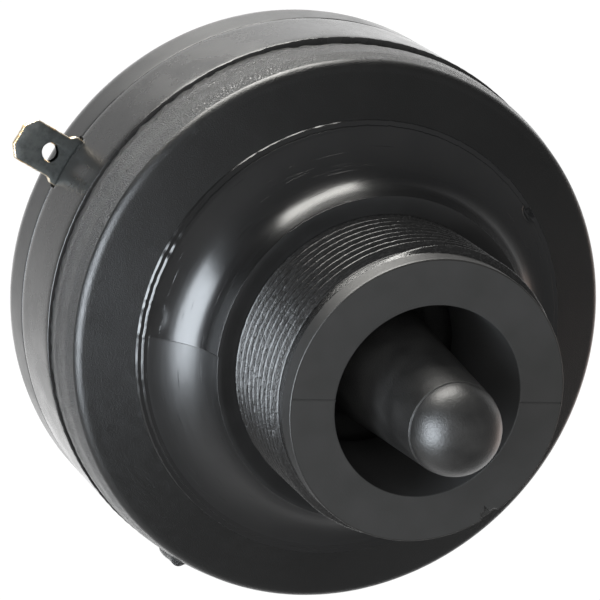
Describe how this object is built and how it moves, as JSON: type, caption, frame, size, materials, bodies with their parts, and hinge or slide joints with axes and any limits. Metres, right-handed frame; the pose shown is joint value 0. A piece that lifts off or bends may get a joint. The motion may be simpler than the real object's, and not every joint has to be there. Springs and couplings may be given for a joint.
{
  "type": "screw-on piezo horn driver",
  "caption": "Round black horn driver with a threaded throat neck, a bullet phase plug in the bore, a clamped cone diaphragm and side solder tabs.",
  "frame": {"origin": "centre of the flat back face that the driver rests on", "axes": "+Z along the throat axis, out of the mouth; X through the two terminal tabs, positive tab at -X; the half-round locating ribs at -Y"},
  "size_m": [0.0824, 0.0689, 0.0668],
  "materials": {
    "housing_black": "moulded black thermoplastic: fine spark texture on the flange, glossy collar, satin rings",
    "plug_black": "satin moulded black plastic",
    "adhesive": "black glue squeezed from the joint",
    "tinned_metal": "dull tin-plated brass sheet with punched edges",
    "solder": "frozen solder, bright and slightly rippled",
    "brass": "rolled brass shim",
    "ceramic": "silvered piezo ceramic",
    "paper": "felted dark cone paper",
    "cloth": "coated woven surround",
    "foam": "open-cell damping foam",
    "silicone": "translucent silicone",
    "wire_red": "red PVC insulation",
    "wire_black": "black PVC insulation"
  },
  "bodies": {
    "housing": {"front_housing": "housing_black", "middle_ring": "housing_black", "rear_cover": "housing_black", "phase_plug": "plug_black", "glue_bead": "adhesive", "rear_gasket": "foam", "surround": "cloth", "front_gasket": "foam", "absorber_disc": "foam", "terminal_tab_positive": "tinned_metal", "terminal_tab_negative": "tinned_metal", "solder_joint_positive": "solder", "solder_joint_negative": "solder", "lead_wire_positive": "wire_red", "lead_wire_negative": "wire_black"},
    "diaphragm": {"cone_diaphragm": "paper", "apex_cap": "paper", "coupling_ring": "silicone", "piezo_wafer_front": "ceramic", "centre_shim": "brass", "piezo_wafer_rear": "ceramic", "jumper_foil": "tinned_metal", "solder_dot_wafer": "solder", "solder_dot_shim": "solder"}
  },
  "joints": [
    {"name": "diaphragm_travel", "type": "slide", "parent": "housing", "child": "diaphragm", "axis": [0, 0, 1], "range_m": [-0.00015, 0.00015], "stiffness_N_per_m": 2000}
  ]
}
